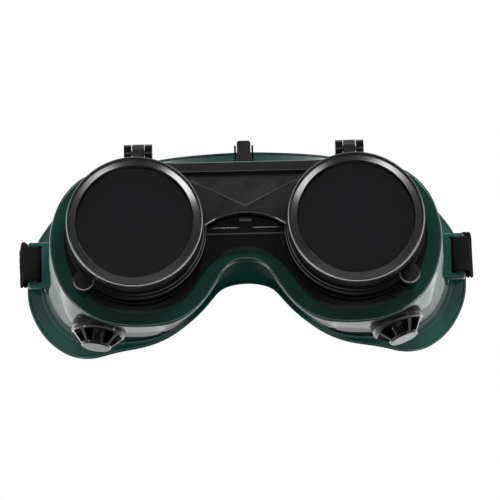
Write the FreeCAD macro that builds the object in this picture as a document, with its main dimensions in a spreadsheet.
import FreeCAD, Part
import Sketcher
import math, os
from FreeCAD import Vector, Placement, Rotation

# Flip-front welding goggles: soft moulded body, fixed lens frame, hinged
# flip frame with two screw rings, four vent caps and an elastic head strap.
# X runs along the row of lenses, +Y points back to the wearer, +Z is up.
# Left (-X) and right (+X) are as seen from the front.
# Origin: centre of the face opening on the seal surface, at lens height.

# ---------------------------------------------------------------- dimensions
DIMS = [
    # alias, value, note
    ("lens_half", 44.4, "half the distance between lens axes"),
    ("lens_dia", 50.0, "round lens diameter"),
    ("filter_thick", 3.0, "dark filter glass"),
    ("cover_thick", 1.5, "cover glass"),
    ("gasket_thick", 1.0, "gasket between the glasses"),
    ("gasket_bore", 46.4, "gasket inner diameter"),
    ("ring_dia", 55.0, "screw ring outside"),
    ("ring_bore", 52.72, "screw ring bore over the cup"),
    ("ring_sight", 47.2, "screw ring sight opening"),
    ("ring_rear", -40.2, "rear end of the screw ring"),
    ("ring_front", -47.2, "front face of the screw ring"),
    ("cup_dia", 52.6, "lens cup outside"),
    ("cup_bore", 50.4, "lens cup bore"),
    ("cup_front", -44.6, "front end of the lens cup"),
    ("cup_seat", -39.4, "lens seat in the cup"),
    ("sight_bore", 46.0, "sight bore behind the lens seat"),
    ("flip_front", -34.0, "front face of the flip plate"),
    ("flip_rear", -31.4, "rear face of the flip plate"),
    ("flip_disc", 57.0, "round plate around each cup"),
    ("collar_dia", 55.4, "step between cup and plate"),
    ("collar_front", -36.2, "front of that step"),
    ("arch_rise", 7.0, "height of the bridge arch"),
    ("bar_low", 24.3, "lower edge of the top bar"),
    ("bar_front", -35.6, "front face of the top bar"),
    ("tab_wide", 5.6, "detent tongue width"),
    ("tab_top", 37.6, "detent tongue top"),
    ("lift_rad", 4.3, "lift tab radius"),
    ("hinge_half", 43.2, "hinge centre from the middle"),
    ("hinge_back", -32.0, "hinge axis along Y"),
    ("hinge_high", 34.5, "hinge axis height"),
    ("knuckle_rad", 3.5, "hinge knuckle radius"),
    ("knuckle_mid", 4.8, "middle knuckle length"),
    ("knuckle_out", 3.1, "outer knuckle length"),
    ("knuckle_gap", 0.3, "gap between knuckles"),
    ("pin_rad", 1.0, "hinge pin radius"),
    ("pin_play", 0.06, "radial play in the middle knuckle"),
    ("frame_front", -30.0, "front face of the lens frame"),
    ("frame_lip", -28.02, "rear of its front flange"),
    ("frame_neck", -25.45, "rear end of its neck"),
    ("frame_rear", -23.4, "rear face of the lens frame"),
    ("clear_bore", 50.2, "bore for the clear lens"),
    ("clear_seat", -25.0, "clear lens seat"),
    ("clear_thick", 1.5, "clear lens"),
    ("clip_thick", 1.0, "clear lens clip ring"),
    ("clip_bore", 46.6, "clip ring inner diameter"),
    ("rim_front", -28.0, "front of the soft body"),
    ("lip_thick", 2.5, "thickness of the soft front lip"),
    ("wall_thick", 2.5, "thickness of the soft wall"),
    ("flange_thick", 2.0, "thickness of the face flange"),
    ("lip_under", 1.2, "soft lip hidden under the lens frame"),
    ("vent_rad", 11.0, "vent cap base radius"),
    ("vent_base", 2.5, "vent cap base thickness"),
    ("vent_high", 7.8, "vent cap height"),
    ("vent_end", 6.1, "vent cap end radius"),
    ("vent_stem", 6.0, "vent cap stem radius"),
    ("vent_hole", 6.15, "hole in the soft wall"),
    ("vent_bore", 3.6, "air hole through the vent"),
    ("boss_rad", 9.8, "moulded pad under a vent"),
    ("boss_deep", 5.9, "depth of that pad"),
    ("nut_rad", 6.95, "vent lock ring radius"),
    ("nut_thick", 1.8, "vent lock ring thickness"),
    ("strap_wide", 15.0, "strap width"),
    ("strap_thick", 1.3, "strap thickness"),
    ("lug_in", 80.5, "strap lug root"),
    ("lug_out", 91.5, "strap lug outer side"),
    ("lug_front", 5.0, "front of the lug"),
    ("lug_rear", 9.0, "rear of the lug"),
    ("lug_low", -10.3, "underside of the lug"),
    ("lug_high", 9.5, "top of the lug"),
    ("slot_in", 85.6, "inner side of the strap slot"),
    ("slot_out", 87.8, "outer side of the strap slot"),
    ("slot_low", -8.4, "lower end of the strap slot"),
    ("slot_high", 7.8, "upper end of the strap slot"),
    ("slider_long", 14.0, "slider length along the strap"),
    ("slider_rail", 2.2, "slider rail width"),
    ("slider_bar", 2.6, "slider bar width"),
]

doc = FreeCAD.newDocument("welding_goggles")
sheet = doc.addObject("Spreadsheet::Sheet", "Dims")
for row, (alias, value, note) in enumerate(DIMS, 1):
    sheet.set("A%d" % row, note)
    sheet.set("B%d" % row, "%s" % value)
    sheet.setAlias("B%d" % row, alias)
doc.recompute()
dim = {alias: float(getattr(sheet, alias)) for alias, value, note in DIMS}

X_AXIS = Vector(1, 0, 0)
Y_AXIS = Vector(0, 1, 0)
Z_AXIS = Vector(0, 0, 1)
SIDES = ((-1, "left"), (1, "right"))


# ---------------------------------------------------------------- helpers
# Radii, heights and profile points are given as expressions on the sheet.
def cylinder(name, radius, height, base, axis):
    part = doc.addObject("Part::Cylinder", name)
    part.setExpression("Radius", radius)
    part.setExpression("Height", height)
    part.Placement = Placement(Vector(*base), Rotation(Z_AXIS, axis))
    return part


def box(name, x_ends, y_ends, z_ends):
    # the two ends of a range may come in either order
    low, high = zip(*[sorted(ends) for ends in (x_ends, y_ends, z_ends)])
    part = doc.addObject("Part::Box", name)
    part.Length, part.Width, part.Height = [b - a for a, b in zip(low, high)]
    part.Placement = Placement(Vector(*low), Rotation())
    return part


def fuse(name, parts):
    result = doc.addObject("Part::MultiFuse", name)
    result.Shapes = parts
    return result


def cut(name, base, tool):
    result = doc.addObject("Part::Cut", name)
    result.Base = base
    result.Tool = tool
    return result


def feature(name, shape):
    part = doc.addObject("Part::Feature", name)
    part.Shape = shape
    return part


def facing_out(solid):
    # turn a solid whose faces point inwards
    if solid.Volume < 0:
        solid.reverse()
    return solid


def profile_sketch(body, name, points):
    # closed polyline, every corner held by two distances bound to the sheet
    sketch = body.newObject("Sketcher::SketchObject", name)
    plane = next(f for f in body.Origin.OriginFeatures if f.Role == "XY_Plane")
    sketch.AttachmentSupport = [(plane, "")]
    sketch.MapMode = "FlatFace"
    corners = [Vector(*[float(sketch.evalExpression(text)) for text in point])
               for point in points]
    count = len(corners)
    for i in range(count):
        sketch.addGeometry(Part.LineSegment(corners[i], corners[(i + 1) % count]), False)
    for i in range(count):
        sketch.addConstraint(Sketcher.Constraint("Coincident", i, 2, (i + 1) % count, 1))
    for i, (x_text, y_text) in enumerate(points):
        # the last item is the sketch axis that a zero distance lies on
        for kind, text, value, axis in (("DistanceX", x_text, corners[i].x, -2),
                                        ("DistanceY", y_text, corners[i].y, -1)):
            if abs(value) < 1e-9:
                sketch.addConstraint(Sketcher.Constraint("PointOnObject", i, 1, axis))
                continue
            number = sketch.addConstraint(Sketcher.Constraint(kind, -1, 1, i, 1, value))
            if "Dims." in text:
                sketch.setExpression("Constraints[%d]" % number, text)
    return sketch


def turn(body, kind, sketch_name, name, points, angle):
    # Revolution or Groove: x of the profile is the radius, y runs along the axis
    sketch = profile_sketch(body, sketch_name, points)
    result = body.newObject("PartDesign::" + kind, name)
    result.Profile = sketch
    result.ReferenceAxis = (sketch, ["V_Axis"])
    result.Angle = angle
    sketch.Visibility = False
    body.Tip = result
    return result


def turned_piece(label, points, place):
    body = doc.addObject("PartDesign::Body", label)
    turn(body, "Revolution", label + "_profile", label + "_turn", points, 360.0)
    body.Placement = place
    return body


def ring_profile(inner, outer, start, end):
    return [(inner, start), (outer, start), (outer, end), (inner, end)]


def smooth(t):
    # eased step from 0 to 1
    t = max(0.0, min(1.0, t))
    return t * t * (3 - 2 * t)


# ---------------------------------------------------------------- body outline
# Matched points of the front rim and the outer edge of the face flange, for
# the right half from the top centre round to the nose:
# rim x, rim z, flange x, flange z, flange width, front lip width
SPOKES = [
    (0.0, 30.5, 0.0, 46.2, 8.5, 3.0),
    (10.0, 30.5, 12.0, 46.0, 8.5, 3.0),
    (20.0, 30.5, 24.0, 45.6, 8.5, 3.0),
    (30.0, 30.5, 35.0, 44.9, 8.8, 3.0),
    (40.0, 30.4, 46.0, 43.2, 9.6, 3.0),
    (50.0, 30.0, 57.0, 40.1, 9.8, 3.1),
    (58.0, 29.0, 66.0, 36.3, 9.4, 3.4),
    (64.2, 27.1, 73.0, 31.8, 9.0, 3.9),
    (69.0, 24.0, 79.0, 27.0, 9.0, 4.6),
    (73.0, 19.8, 84.2, 21.5, 9.0, 5.2),
    (76.0, 15.0, 88.6, 15.6, 9.0, 5.6),
    (78.2, 9.4, 91.5, 8.8, 9.0, 5.9),
    (79.5, 3.4, 93.0, 1.5, 9.0, 6.0),
    (79.9, -2.6, 93.5, -5.0, 9.0, 6.0),
    (79.3, -8.6, 93.1, -11.0, 9.0, 6.0),
    (77.9, -14.4, 91.6, -16.8, 9.0, 6.1),
    (75.8, -19.8, 89.2, -22.3, 9.0, 6.2),
    (73.0, -24.6, 85.8, -27.9, 9.0, 6.3),
    (69.3, -29.0, 81.3, -33.0, 9.0, 6.4),
    (64.5, -33.0, 75.9, -37.2, 9.0, 6.4),
    (58.5, -36.2, 70.0, -39.7, 8.6, 6.4),
    (52.0, -37.9, 63.3, -40.4, 7.2, 6.3),
    (45.0, -38.5, 55.5, -39.3, 5.2, 6.2),
    (38.0, -38.4, 47.0, -38.5, 3.8, 6.2),
    (31.5, -37.4, 38.8, -37.1, 3.0, 6.3),
    (26.0, -35.2, 31.4, -34.1, 2.6, 6.5),
    (21.4, -32.1, 25.2, -30.0, 2.5, 6.6),
    (17.8, -28.5, 20.2, -26.4, 2.5, 6.6),
    (15.0, -24.6, 16.4, -23.3, 2.5, 6.5),
    (12.6, -20.6, 13.4, -20.5, 2.5, 6.4),
    (10.3, -16.9, 10.8, -18.5, 2.5, 6.1),
    (7.7, -13.9, 7.7, -17.7, 2.5, 5.6),
    (4.3, -11.7, 4.2, -17.5, 2.5, 5.0),
    (0.0, -11.0, 0.0, -17.5, 2.5, 4.7),
]


def outward(loop):
    # unit normals pointing away from the opening; the loop runs clockwise
    # seen from the front
    normals = []
    for i in range(len(loop)):
        tangent = loop[(i + 1) % len(loop)] - loop[i - 1]
        normals.append(Vector(-tangent.z, 0, tangent.x).normalize())
    return normals


# the first and last spokes lie on the middle plane and are not mirrored
ALL_SPOKES = SPOKES + [(-rim_x, rim_z, -edge_x, edge_z, flange_wide, lip_wide)
                       for rim_x, rim_z, edge_x, edge_z, flange_wide, lip_wide
                       in SPOKES[-2:0:-1]]
COUNT = len(ALL_SPOKES)
RIM = [Vector(spoke[0], 0, spoke[1]) for spoke in ALL_SPOKES]
EDGE = [Vector(spoke[2], 0, spoke[3]) for spoke in ALL_SPOKES]
FLANGE_WIDE = [spoke[4] for spoke in ALL_SPOKES]
LIP_WIDE = [spoke[5] for spoke in ALL_SPOKES]
RIM_OUT = outward(RIM)
EDGE_OUT = outward(EDGE)

# all loops share the curve parameters of the rim's chord lengths
CURVE_PARAMS = [0.0]
for i in range(COUNT):
    CURVE_PARAMS.append(CURVE_PARAMS[-1] + (RIM[(i + 1) % COUNT] - RIM[i]).Length)


def smooth_edge(points):
    curve = Part.BSplineCurve()
    curve.interpolate(Points=points, PeriodicFlag=True, Parameters=CURVE_PARAMS)
    return curve.toShape()


def at_depth(point, y):
    return Vector(point.x, y, point.z)


# ---------------------------------------------------------------- soft body
FACE_HALF = 92.0         # half width of the face surface
FACE_WRAP = 24.0         # how far it curves back at that half width
BROW_LIFT = 2.0          # it moves back this much at the brow
BROW_START = 6.0         # height where the brow lift begins
BROW_SPAN = 40.0         # height over which it grows to BROW_LIFT
NOSE_DEPTH = 14.0        # how far it comes forward over the nose
NOSE_HALF = 26.0         # half width of the nose area
RIM_ROUND = 0.7          # bevel of the front rim
EDGE_ROUND = 0.6         # bevel of the flange edge, across its width
EDGE_SLOPE = 0.2         # its front corner lies this far behind the flange front
ROOT_STEP = 0.3          # the wall meets the flange this far in front of it


def seal_depth(point):
    # y of the face surface the flange rests on
    across = abs(point.x) / FACE_HALF
    brow = max(0.0, (point.z - BROW_START) / BROW_SPAN) * max(0.0, 1.0 - across * across)
    nose = smooth(1.0 - abs(point.x) / NOSE_HALF) if point.z < 0 else 0.0
    return FACE_WRAP * across * across + BROW_LIFT * brow - NOSE_DEPTH * nose


def body_section(i):
    # corners of the wall section at spoke i: along the outside from the front
    # lip to the flange, then back along the inside
    rim, edge = RIM[i], EDGE[i]
    front = dim["rim_front"]
    lip_rear = front + dim["lip_thick"]
    lip = rim - RIM_OUT[i] * (LIP_WIDE[i] + dim["lip_under"])
    inner_front = rim - RIM_OUT[i] * dim["wall_thick"]
    root = edge - EDGE_OUT[i] * FLANGE_WIDE[i]
    inner_root = edge - EDGE_OUT[i] * (FLANGE_WIDE[i] + dim["wall_thick"])
    edge_inset = edge - EDGE_OUT[i] * EDGE_ROUND
    root_y = seal_depth(root) - dim["flange_thick"] - ROOT_STEP
    inner_y = seal_depth(inner_root)
    edge_y = seal_depth(edge)
    return [
        at_depth(lip, front),
        at_depth(rim - RIM_OUT[i] * RIM_ROUND, front),
        at_depth(rim, front + RIM_ROUND),
        at_depth((rim + root) * 0.5, (front + root_y) / 2),
        at_depth(root, root_y),
        at_depth(edge_inset, edge_y - dim["flange_thick"] + EDGE_SLOPE),
        at_depth(edge, edge_y - dim["flange_thick"] / 2),
        at_depth(edge_inset, edge_y),
        at_depth(inner_root, inner_y),
        at_depth((inner_front + inner_root) * 0.5, (lip_rear + inner_y) / 2),
        at_depth(inner_front, lip_rear),
        at_depth(lip, lip_rear),
    ]


def soft_skin():
    # ruled strips between neighbouring loops close into a hollow rim
    loops = zip(*[body_section(i) for i in range(COUNT)])
    edges = [smooth_edge(list(loop)) for loop in loops]
    faces = []
    for i, edge in enumerate(edges):
        faces += Part.makeRuledSurface(edge, edges[(i + 1) % len(edges)]).Faces
    return facing_out(Part.makeSolid(Part.makeShell(faces)))


# name, centre of the cap's seat, sideways tilt in degrees, 1 up or -1 down
VENTS = [
    ("lower_left", Vector(-60.6, -16.0, -35.6), -9.0, -1),
    ("lower_right", Vector(60.6, -16.0, -35.4), 21.0, -1),
    ("upper_left", Vector(-52.5, -3.0, 31.6), -12.0, 1),
    ("upper_right", Vector(52.5, -3.0, 31.6), 12.0, 1),
]
RECESS_PLAY = 0.45       # radial room around a vent cap
RECESS_HIGH = 12         # length of the recess tool
HOLE_OVER = 6            # the hole tool passes both ends of the pad by this
LUG_ROOT_INSET = 0.4     # the lug root stops this short of the slot
LUG_ROOT_BACK = 8.0      # and reaches this far behind the lug
SLOT_OVER_FRONT = 2      # slot tool past the front of the lug
SLOT_OVER_REAR = 6       # and past its rear


def vent_axis(tilt, up):
    angle = math.radians(tilt)
    return Vector(math.sin(angle), 0.0, up * math.cos(angle))


def goggle_body():
    adds = [feature("body_skin", soft_skin())]
    cuts = []
    for name, base, tilt, up in VENTS:
        axis = vent_axis(tilt, up)
        deep = dim["boss_deep"]
        adds.append(cylinder("pad_" + name, "Dims.boss_rad", "Dims.boss_deep",
                             base - axis * deep, axis))
        cuts.append(cylinder("recess_" + name, f"Dims.vent_rad + {RECESS_PLAY}",
                             str(RECESS_HIGH), base, axis))
        cuts.append(cylinder("hole_" + name, "Dims.vent_hole",
                             f"Dims.boss_deep + 2 * {HOLE_OVER}",
                             base - axis * (deep + HOLE_OVER), axis))
    lug_z = (dim["lug_low"], dim["lug_high"])
    for side, tag in SIDES:
        root = side * dim["lug_in"]
        adds.append(box("lug_" + tag, (root, side * dim["lug_out"]),
                        (dim["lug_front"], dim["lug_rear"]), lug_z))
        adds.append(box("lug_root_" + tag, (root, side * (dim["slot_in"] - LUG_ROOT_INSET)),
                        (dim["lug_front"], dim["lug_rear"] + LUG_ROOT_BACK), lug_z))
        cuts.append(box("slot_" + tag, (side * dim["slot_in"], side * dim["slot_out"]),
                        (dim["lug_front"] - SLOT_OVER_FRONT, dim["lug_rear"] + SLOT_OVER_REAR),
                        (dim["slot_low"], dim["slot_high"])))
    return cut("goggle_body", fuse("body_solid", adds), fuse("body_tools", cuts))


# ---------------------------------------------------------------- hinge places
HINGE_Y = dim["hinge_back"]
HINGE_Z = dim["hinge_high"]
# from the centre of a hinge to the end of its outer knuckle
HINGE_REACH = dim["knuckle_mid"] / 2 + dim["knuckle_out"] + dim["knuckle_gap"]
HINGE_REACH_TEXT = "(Dims.knuckle_mid / 2 + Dims.knuckle_out + Dims.knuckle_gap)"

# ---------------------------------------------------------------- lens frame
NECK_PLAY = 0.08         # room between the neck and the soft lip
REAR_INSET = 0.35        # rear plate inside the front flange outline
ADDED_REAR_INSET = 0.15  # added blocks end this far in front of the flange rear
PIN_BORE_OVER = 1        # bore tool past each outer knuckle
CUT_AHEAD = 38           # lens tools start this far in front of the origin
ARM_LOW = 25.5           # underside of hinge arms, cheeks and cheek floor
CHEEK_IN = 3.15          # inner side of a cheek
CHEEK_OUT = 3.95         # outer side of a cheek
CHEEKS = [
    # name, reach in front of the frame, bottom, top
    ("low", 0.3, ARM_LOW, 31.4),
    ("high", 3.0, 31.3, 36.4),
]
FLOOR_TOP = 30.2
LEDGE_HALF = 17.0
LEDGE_AHEAD = 1.0        # ledge in front of the frame face
LEDGE_SUNK = 0.5         # and sunk into it
LEDGE_Z = (-1.1, 1.7)
NUB_RAD = 1.0
NUB_LONG = 5.0
NUB_AHEAD = 0.1          # nub axis in front of the frame face
NUB_Z = 5.1


def frame_layer(grow, front, rear):
    # plate on the rim's lip outline, grown outwards by grow
    points = [at_depth(RIM[i] + RIM_OUT[i] * (grow - LIP_WIDE[i]), front)
              for i in range(COUNT)]
    face = Part.Face(Part.Wire([smooth_edge(points)]))
    return face.extrude(Vector(0, rear - front, 0))


def lens_frame():
    front = dim["frame_front"]
    flange = frame_layer(0.0, front, dim["frame_lip"])
    neck = frame_layer(-dim["lip_under"] - NECK_PLAY, dim["frame_lip"], dim["frame_neck"])
    rear = frame_layer(-REAR_INSET, dim["frame_neck"], dim["frame_rear"])
    adds = [feature("frame_plate", flange.fuse(neck).fuse(rear))]
    cuts = []
    block_rear = dim["frame_lip"] - ADDED_REAR_INSET
    for side, tag in SIDES:
        hinge_x = side * dim["hinge_half"]
        for end, letter in ((-1, "a"), (1, "b")):
            start = hinge_x + end * (dim["knuckle_mid"] / 2 + dim["knuckle_gap"])
            knuckle = sorted((start, start + end * dim["knuckle_out"]))
            name = tag + "_" + letter
            adds.append(cylinder("fixed_knuckle_" + name, "Dims.knuckle_rad",
                                 "Dims.knuckle_out", (knuckle[0], HINGE_Y, HINGE_Z), X_AXIS))
            adds.append(box("fixed_arm_" + name, knuckle, (front, block_rear),
                            (ARM_LOW, HINGE_Z)))
        cuts.append(cylinder("fixed_pin_bore_" + tag, "Dims.pin_rad",
                             f"2 * {HINGE_REACH_TEXT} + 2 * {PIN_BORE_OVER}",
                             (hinge_x - HINGE_REACH - PIN_BORE_OVER, HINGE_Y, HINGE_Z), X_AXIS))
        lens_base = (side * dim["lens_half"], -CUT_AHEAD, 0)
        cuts.append(cylinder("clear_sight_" + tag, "Dims.sight_bore / 2", "20",
                             lens_base, Y_AXIS))
        cuts.append(cylinder("clear_pocket_" + tag, "Dims.clear_bore / 2",
                             f"Dims.clear_seat + {CUT_AHEAD}", lens_base, Y_AXIS))
        for level, ahead, low, high in CHEEKS:
            adds.append(box("cheek_%s_%s" % (level, tag), (side * CHEEK_IN, side * CHEEK_OUT),
                            (front - ahead, block_rear), (low, high)))
    adds.append(box("cheek_floor", (-CHEEK_OUT, CHEEK_OUT), (front, block_rear),
                    (ARM_LOW, FLOOR_TOP)))
    adds.append(box("nose_ledge", (-LEDGE_HALF, LEDGE_HALF),
                    (front - LEDGE_AHEAD, front + LEDGE_SUNK), LEDGE_Z))
    adds.append(cylinder("catch_nub", str(NUB_RAD), str(NUB_LONG),
                         (-NUB_LONG / 2, front - NUB_AHEAD, NUB_Z), X_AXIS))
    return cut("lens_frame", fuse("frame_solid", adds), fuse("frame_tools", cuts))


# ---------------------------------------------------------------- flip frame
OVERLAP = 0.5            # cups, collars and top bar sink this far into the plate
POCKET_AHEAD = 5         # pocket tool starts this far in front of the cup
FLIP_CUT_FRONT = -45     # y where the sight tool starts
FLIP_BORE_LONG = 20      # pin bore tool, centred on the hinge
ARM_AHEAD = 1.4          # hinge arms and tongue in front of the plate
FLIP_ARM_INSET = 1.2     # hinge arms end this far in front of the plate rear
TONGUE_SUNK = 1.0        # tongue sunk into the plate
FLIP_ARM_LOW = 26.0      # underside of hinge arms and tongue
TONGUE_ROUND = 1.2       # radius of the tongue's top corners
LIFT_OUT = 21.1          # lift tab centre outside the lens axis
LIFT_Z = -20.2
LIFT_AHEAD = 0.3         # lift tab in front of the plate
LIFT_THICK = 2.4
LIFT_ROOT_LONG = 6.0     # block from the tab to the plate
LIFT_TURN = 45.0         # slope of that block in degrees
WEB_LOW = 1.8            # underside of the bridge web
ARCH_HALF = 16.4         # half width of the arch at the web underside
ARCH_OVER = 5            # arch tool in front of the plate
ARCH_LONG = 10


def flip_bridge():
    # web between the discs, arched from below
    web = box("flip_web", (-dim["lens_half"], dim["lens_half"]),
              (dim["flip_front"], dim["flip_rear"]), (WEB_LOW, dim["flip_disc"] / 2))
    rise = dim["arch_rise"] - WEB_LOW
    radius = (ARCH_HALF ** 2 + rise ** 2) / (2 * rise)
    arch = cylinder("flip_arch", str(radius), str(ARCH_LONG),
                    (0, dim["flip_front"] - ARCH_OVER, dim["arch_rise"] - radius), Y_AXIS)
    return cut("flip_bridge", web, arch)


def bridge_facet():
    # triangular facet of the bridge: nearly flush at the top, proud at its
    # lower point, with a strip above it running up to the top bar
    half, top, low = 22.9, 21.6, 9.8
    strip_half = half + 4
    strip_top = dim["bar_low"] + 0.2
    front = dim["flip_front"]
    rear = front + 0.4
    corners = [
        Vector(-half, rear, top - 0.7),
        Vector(half, rear, top - 0.7),
        Vector(0, rear, low - 1.9),
        Vector(-half, front - 0.1, top),
        Vector(half, front - 0.1, top),
        Vector(0, front - 0.75, low),
        Vector(-strip_half, rear, strip_top),
        Vector(strip_half, rear, strip_top),
        Vector(-strip_half, front - 0.05, strip_top),
        Vector(strip_half, front - 0.05, strip_top),
    ]
    # corner numbers round each face
    loops = [(0, 2, 1, 7, 6), (3, 5, 4), (3, 4, 9, 8), (0, 3, 5), (0, 5, 2), (2, 5, 4),
             (2, 4, 1), (1, 4, 9), (1, 9, 7), (7, 9, 8, 6), (6, 8, 3), (6, 3, 0)]
    faces = [Part.Face(Part.makePolygon([corners[k] for k in loop + loop[:1]]))
             for loop in loops]
    return feature("bridge_facet", facing_out(Part.makeSolid(Part.makeShell(faces))))


def detent_tongue():
    half = dim["tab_wide"] / 2
    block = box("tongue_block", (-half, half),
                (dim["flip_front"] - ARM_AHEAD, dim["flip_front"] + TONGUE_SUNK),
                (FLIP_ARM_LOW, dim["tab_top"]))
    doc.recompute()      # the edges are picked from the built block
    picked = []
    for number, edge in enumerate(block.Shape.Edges, 1):
        centre = edge.CenterOfMass
        if abs(centre.z - dim["tab_top"]) < 1e-6 and abs(abs(centre.x) - half) < 1e-6:
            picked.append((number, TONGUE_ROUND, TONGUE_ROUND))
    tongue = doc.addObject("Part::Fillet", "tongue_round")
    tongue.Base = block
    tongue.Edges = picked
    return tongue


def lift_tab(side, tag):
    # round tab at the lower outer side of a disc and the block that joins it
    centre = Vector(side * (dim["lens_half"] + LIFT_OUT), dim["flip_front"] - LIFT_AHEAD, LIFT_Z)
    tab = cylinder("lift_tab_" + tag, "Dims.lift_rad", str(LIFT_THICK), centre, Y_AXIS)
    root = doc.addObject("Part::Box", "lift_root_" + tag)
    root.setExpression("Length", "2 * Dims.lift_rad")
    root.Width = LIFT_THICK
    root.Height = LIFT_ROOT_LONG
    rotation = Rotation(Y_AXIS, -side * LIFT_TURN)
    root.Placement = Placement(centre + rotation.multVec(Vector(-dim["lift_rad"], 0, 0)),
                               rotation)
    return [tab, root]


def flip_frame():
    front, rear = dim["flip_front"], dim["flip_rear"]
    adds = []
    cuts = []
    for side, tag in SIDES:
        lens_x = side * dim["lens_half"]
        adds.append(cylinder("flip_disc_" + tag, "Dims.flip_disc / 2",
                             "Dims.flip_rear - Dims.flip_front", (lens_x, front, 0), Y_AXIS))
        for name in ("collar", "cup"):
            adds.append(cylinder(f"flip_{name}_{tag}", f"Dims.{name}_dia / 2",
                                 f"Dims.flip_front - Dims.{name}_front + {OVERLAP}",
                                 (lens_x, dim[name + "_front"], 0), Y_AXIS))
        cuts.append(cylinder("flip_pocket_" + tag, "Dims.cup_bore / 2",
                             f"Dims.cup_seat - Dims.cup_front + {POCKET_AHEAD}",
                             (lens_x, dim["cup_front"] - POCKET_AHEAD, 0), Y_AXIS))
        cuts.append(cylinder("flip_sight_" + tag, "Dims.sight_bore / 2", "20",
                             (lens_x, FLIP_CUT_FRONT, 0), Y_AXIS))
        hinge_x = side * dim["hinge_half"]
        half = dim["knuckle_mid"] / 2
        adds.append(cylinder("flip_knuckle_" + tag, "Dims.knuckle_rad", "Dims.knuckle_mid",
                             (hinge_x - half, HINGE_Y, HINGE_Z), X_AXIS))
        adds.append(box("flip_arm_" + tag, (hinge_x - half, hinge_x + half),
                        (front - ARM_AHEAD, rear - FLIP_ARM_INSET), (FLIP_ARM_LOW, HINGE_Z)))
        cuts.append(cylinder("flip_pin_bore_" + tag, "Dims.pin_rad + Dims.pin_play",
                             str(FLIP_BORE_LONG),
                             (hinge_x - FLIP_BORE_LONG / 2, HINGE_Y, HINGE_Z), X_AXIS))
        adds += lift_tab(side, tag)
    adds.append(flip_bridge())
    adds.append(box("top_bar", (-dim["lens_half"], dim["lens_half"]),
                    (dim["bar_front"], front + OVERLAP),
                    (dim["bar_low"], dim["flip_disc"] / 2)))
    adds.append(bridge_facet())
    adds.append(detent_tongue())
    return cut("flip_frame", fuse("flip_solid", adds), fuse("flip_tools", cuts))


# ---------------------------------------------------------------- lens stacks
RING_OUT = "Dims.ring_dia / 2"
RING_FRONT = "Dims.ring_front"
SIGHT = "Dims.ring_sight / 2"
BEZEL_PROFILE = [
    # rear end and outside
    ("Dims.ring_bore / 2", "Dims.ring_rear"),
    (RING_OUT + " - 0.3", "Dims.ring_rear"),
    (RING_OUT, "Dims.ring_rear - 0.3"),
    # rounded outer bead and the groove beside it
    (RING_OUT, RING_FRONT + " + 0.9"),
    (RING_OUT + " - 0.15", RING_FRONT + " + 0.55"),
    (RING_OUT + " - 0.45", RING_FRONT + " + 0.4"),
    (RING_OUT + " - 0.75", RING_FRONT + " + 0.55"),
    (RING_OUT + " - 0.9", RING_FRONT + " + 1.0"),
    (RING_OUT + " - 1.25", RING_FRONT + " + 1.05"),
    (RING_OUT + " - 1.5", RING_FRONT + " + 0.75"),
    # front face down to the sight opening
    (RING_OUT + " - 2.6", RING_FRONT + " + 0.32"),
    (SIGHT + " + 0.9", RING_FRONT),
    (SIGHT + " + 0.35", RING_FRONT),
    (SIGHT, RING_FRONT + " + 0.4"),
    # inner lip
    (SIGHT, RING_FRONT + " + 2.2"),
    ("Dims.ring_bore / 2", RING_FRONT + " + 2.2"),
]
LENS_RAD = "Dims.lens_dia / 2"


def lens_profile(front, rear, chamfer):
    inset = f"{LENS_RAD} - {chamfer}"
    return [("0", front), (inset, front), (LENS_RAD, f"{front} + {chamfer}"),
            (LENS_RAD, f"{rear} - {chamfer}"), (inset, rear), ("0", rear)]


def lens_stack(side, tag):
    # faces from the cup seat forward, then from the clear lens seat forward
    seat = "Dims.cup_seat"
    filter_front = seat + " - Dims.filter_thick"
    gasket_front = filter_front + " - Dims.gasket_thick"
    cover_front = gasket_front + " - Dims.cover_thick"
    clear_seat = "Dims.clear_seat"
    clear_front = clear_seat + " - Dims.clear_thick"
    clip_front = clear_front + " - Dims.clip_thick"
    profiles = [
        ("bezel_ring_", BEZEL_PROFILE),
        ("filter_lens_", lens_profile(filter_front, seat, 0.3)),
        ("lens_gasket_", ring_profile("Dims.gasket_bore / 2", LENS_RAD,
                                      gasket_front, filter_front)),
        ("cover_lens_", lens_profile(cover_front, gasket_front, 0.25)),
        ("clear_lens_", lens_profile(clear_front, clear_seat, 0.25)),
        ("lens_clip_", ring_profile("Dims.clip_bore / 2", "Dims.clear_bore / 2",
                                    clip_front, clear_front)),
    ]
    place = Placement(Vector(side * dim["lens_half"], 0, 0), Rotation())
    return [turned_piece(name + tag, points, place) for name, points in profiles]


def hinge_pin(side, tag):
    reach = HINGE_REACH_TEXT
    points = [("0", f"-{reach}"), ("Dims.pin_rad - 0.25", f"-{reach}"),
              ("Dims.pin_rad", f"0.25 - {reach}"), ("Dims.pin_rad", f"{reach} - 0.25"),
              ("Dims.pin_rad - 0.25", reach), ("0", reach)]
    return turned_piece("hinge_pin_" + tag, points,
                        Placement(Vector(side * dim["hinge_half"], HINGE_Y, HINGE_Z),
                                  Rotation(Y_AXIS, X_AXIS)))


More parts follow.
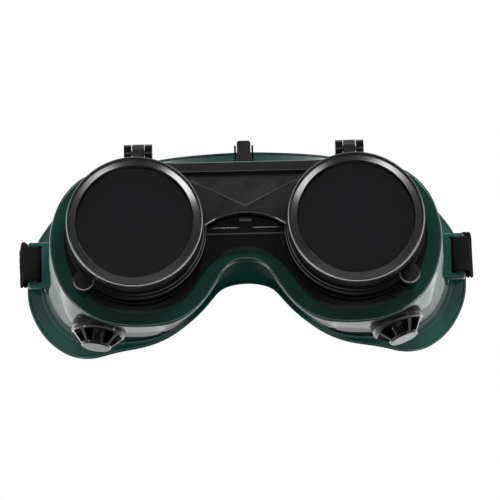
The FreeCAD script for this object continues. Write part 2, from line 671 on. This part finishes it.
# ---------------------------------------------------------------- vents
WINDOW_COUNT = 8
WINDOW_ANGLE = 35.0      # leaves a rib between neighbouring windows
VENT_TURN = 22.5         # turn of the cap about its own axis
PAD_REAR = "0 - Dims.boss_deep"
CAP_BASE = "Dims.vent_base"
CAP_TOP = "Dims.vent_high"
CAP_PROFILE = [
    # stem
    ("Dims.vent_bore", PAD_REAR + " - Dims.nut_thick - 0.6"),
    ("Dims.vent_stem", PAD_REAR + " - Dims.nut_thick - 0.6"),
    ("Dims.vent_stem", "0.02"),
    # base ring
    ("Dims.vent_rad - 0.5", "0.02"),
    ("Dims.vent_rad", "0.5"),
    ("Dims.vent_rad", CAP_BASE + " - 0.8"),
    ("Dims.vent_rad - 0.3", CAP_BASE + " - 0.25"),
    ("Dims.vent_rad - 0.9", CAP_BASE),
    # cone and closed end
    ("Dims.vent_end", CAP_TOP + " - 1.0"),
    ("Dims.vent_end - 0.05", CAP_TOP + " - 0.3"),
    ("Dims.vent_end - 0.4", CAP_TOP),
    ("0", CAP_TOP),
    ("0", CAP_TOP + " - 1.2"),
    ("Dims.vent_bore", CAP_TOP + " - 1.2"),
]
WINDOW_PROFILE = [
    ("Dims.vent_bore + 1.2", CAP_BASE + " + 0.1"),
    ("Dims.vent_rad + 0.5", CAP_BASE + " + 0.1"),
    ("Dims.vent_rad + 0.5", CAP_TOP + " - 1.1"),
    ("Dims.vent_end - 1.7", CAP_TOP + " - 1.1"),
]


def vent_cap(name, place):
    body = doc.addObject("PartDesign::Body", "vent_cap_" + name)
    turned = turn(body, "Revolution", "cap_profile_" + name, "cap_turn_" + name,
                  CAP_PROFILE, 360.0)
    doc.recompute()
    window = turn(body, "Groove", "window_profile_" + name, "cap_window_" + name,
                  WINDOW_PROFILE, WINDOW_ANGLE)
    window.Midplane = True
    doc.recompute()
    windows = body.newObject("PartDesign::PolarPattern", "cap_windows_" + name)
    windows.Originals = [window]
    windows.Axis = window.ReferenceAxis
    windows.Angle = 360.0
    windows.Occurrences = WINDOW_COUNT
    body.Tip = windows
    doc.recompute()
    if not windows.Shape.Volume < window.Shape.Volume < turned.Shape.Volume:
        raise RuntimeError("vent windows cut nothing")
    body.Placement = place
    return body


def vent_pieces(name, base, tilt, up):
    rotation = Rotation(Y_AXIS, vent_axis(tilt, up))
    place = Placement(base, rotation.multiply(Rotation(Y_AXIS, VENT_TURN)))
    lock_profile = ring_profile("Dims.vent_stem + 0.02", "Dims.nut_rad",
                                PAD_REAR + " - 0.02", PAD_REAR + " - Dims.nut_thick")
    return [vent_cap(name, place),
            turned_piece("vent_lock_ring_" + name, lock_profile, place)]


# ---------------------------------------------------------------- head strap
# The elastic is an upright ribbon along a plan path. All tables hold x, y of
# the right side, in order from the middle of the back to the strap's end.
BACK = [(0.0, 106.5), (16.0, 105.8), (31.0, 103.4), (46.0, 99.4), (60.0, 93.3),
        (69.0, 88.75), (77.2, 84.2)]
CORNER = [(78.1, 83.65), (78.9, 83.0), (79.7, 82.3), (80.4, 81.5), (81.05, 80.7),
          (81.6, 79.8), (82.15, 78.75), (82.61, 77.6)]
# straight stretch, which holds the slider on the right side
STRAIGHT_FRONT = (94.6, 42.0)
STRAIGHT_REAR = (81.8, 80.0)
TO_LUG = [STRAIGHT_FRONT, (95.9, 36.0), (96.15, 30.0), (95.95, 24.0), (95.25, 17.7),
          (94.35, 12.0), (93.6, 8.5)]
# round the outer bar of the lug and back through its slot
LUG_TURN = [(93.2, 6.1), (92.4, 4.5), (91.2, 3.8), (89.8, 3.75), (88.5, 3.8),
            (87.3, 4.3), (86.75, 5.4), (86.7, 7.1), (86.85, 8.9), (87.45, 10.0),
            (88.5, 10.45), (89.8, 10.5), (91.0, 10.8)]
# inner layer, running back beside the outer one
TAIL = [(92.1, 12.1), (92.9, 13.9), (93.75, 17.7), (94.45, 24.0)]
LEFT_TAIL_END = [(94.65, 29.5)]
RIGHT_TAIL = [(94.6, 30.0), (94.3, 34.5)]
LAYER_OFFSET = 3.5       # inner layer from the outer one on the straight stretch
LAYER_STATIONS = (0.12, 0.3, 0.6, 0.9, 0.96)    # shares of that stretch
CURVE_STEPS = 3          # path points per span of a smoothed table

STRAIGHT_START = Vector(*STRAIGHT_FRONT)
STRAIGHT_SPAN = Vector(*STRAIGHT_REAR) - STRAIGHT_START
STRAIGHT_DIR = Vector(STRAIGHT_SPAN).normalize()
STRAIGHT_OUT = Vector(STRAIGHT_DIR.y, -STRAIGHT_DIR.x, 0)     # away from the head
STRAIGHT_MIDDLE = STRAIGHT_START + STRAIGHT_SPAN * 0.5


def strap_height(point):
    # middle line: rises behind the lug, and again round the back of the head
    behind_lug = 13.1 * smooth((point.y - 11.5) / 28.0) - 0.3
    across = smooth((82.0 - abs(point.x)) / 82.0)
    return behind_lug + 17.0 * across * smooth((point.y - 78.0) / 12.0)


def plan(table):
    return [Vector(x, y, 0) for x, y in table]


def catmull_rom(points):
    result = []
    last = len(points) - 1
    for i in range(last):
        p0, p1, p2, p3 = [points[min(max(k, 0), last)] for k in range(i - 1, i + 3)]
        for step in range(CURVE_STEPS):
            t = step / CURVE_STEPS
            result.append((p1 * 2 + (p2 - p0) * t
                           + (p0 * 2 - p1 * 5 + p2 * 4 - p3) * t ** 2
                           + (p1 * 3 - p0 - p2 * 3 + p3) * t ** 3) * 0.5)
    return result + [points[-1]]


def strap_path():
    # from the end of the left tail round the back to the end of the right one
    half = (catmull_rom(plan(BACK)) + plan(CORNER) + [STRAIGHT_MIDDLE]
            + catmull_rom(plan(TO_LUG)) + plan(LUG_TURN) + plan(TAIL))
    layer = [STRAIGHT_START + STRAIGHT_SPAN * share - STRAIGHT_OUT * LAYER_OFFSET
             for share in LAYER_STATIONS]
    left = half[1:] + plan(LEFT_TAIL_END)
    right = half + plan(RIGHT_TAIL) + layer
    return [Vector(-point.x, point.y, 0) for point in reversed(left)] + right


def head_strap():
    path = strap_path()
    half_wide = dim["strap_wide"] / 2
    sections = []
    for i, point in enumerate(path):
        tangent = path[min(i + 1, len(path) - 1)] - path[max(i - 1, 0)]
        across = Vector(-tangent.y, tangent.x, 0).normalize() * (dim["strap_thick"] / 2)
        height = strap_height(point)
        low = Vector(0, 0, height - half_wide)
        high = Vector(0, 0, height + half_wide)
        one_face, other_face = point + across, point - across
        corners = [one_face + low, one_face + high, other_face + high, other_face + low]
        sections.append(Part.makePolygon(corners + corners[:1]))
    return feature("head_strap", facing_out(Part.makeLoft(sections, True, True, False)))


# ---------------------------------------------------------------- slider
# Three-bar slider on the straight stretch: rails above and below, two bars
# outside the strap and one between the two layers.
SLIDER_ROOM = 0.5                # between strap edge and rail
BAR_OVERLAP = 0.1                # bars sink this far into the rails
OUTER_LAYER = (0.95, 2.55)       # outer bars, measured outward from the strap
INNER_LAYER = (-2.65, -0.85)     # middle bar


def strap_slider():
    # local axes: along the strap to the rear, up, away from the head
    place = Placement(STRAIGHT_MIDDLE + Vector(0, 0, strap_height(STRAIGHT_MIDDLE)),
                      Rotation(STRAIGHT_DIR, Z_AXIS, STRAIGHT_OUT, "XYZ"))
    end = dim["slider_long"] / 2
    bar = dim["slider_bar"]
    rail_in = dim["strap_wide"] / 2 + SLIDER_ROOM
    rail_out = rail_in + dim["slider_rail"]
    bar_high = (-rail_in - BAR_OVERLAP, rail_in + BAR_OVERLAP)
    rail_deep = (INNER_LAYER[0], OUTER_LAYER[1])
    parts = [
        box("slider_rail_top", (-end, end), (rail_in, rail_out), rail_deep),
        box("slider_rail_low", (-end, end), (-rail_out, -rail_in), rail_deep),
        box("slider_bar_front", (-end, -end + bar), bar_high, OUTER_LAYER),
        box("slider_bar_rear", (end - bar, end), bar_high, OUTER_LAYER),
        box("slider_bar_middle", (-bar / 2, bar / 2), bar_high, INNER_LAYER),
    ]
    for part in parts:
        part.Placement = place.multiply(part.Placement)
    return fuse("strap_slider", parts)


# ---------------------------------------------------------------- build
pieces = [goggle_body(), lens_frame(), flip_frame()]
for side, tag in SIDES:
    pieces += lens_stack(side, tag)
for side, tag in SIDES:
    pieces.append(hinge_pin(side, tag))
for vent in VENTS:
    pieces += vent_pieces(*vent)
pieces += [head_strap(), strap_slider()]
doc.recompute()

# ---------------------------------------------------------------- check and write
bad = [(item.Name, item.State) for item in doc.Objects
       if "Invalid" in item.State or "Error" in item.State]
for piece in pieces:
    shape = piece.Shape
    if shape.isNull() or not shape.isValid() or shape.Volume <= 0:
        bad.append((piece.Label, "shape"))
if bad:
    raise RuntimeError("failed objects: %s" % bad)

os.makedirs("parts", exist_ok=True)
for piece in pieces:
    piece.Shape.exportStep("parts/%s.step" % piece.Label)
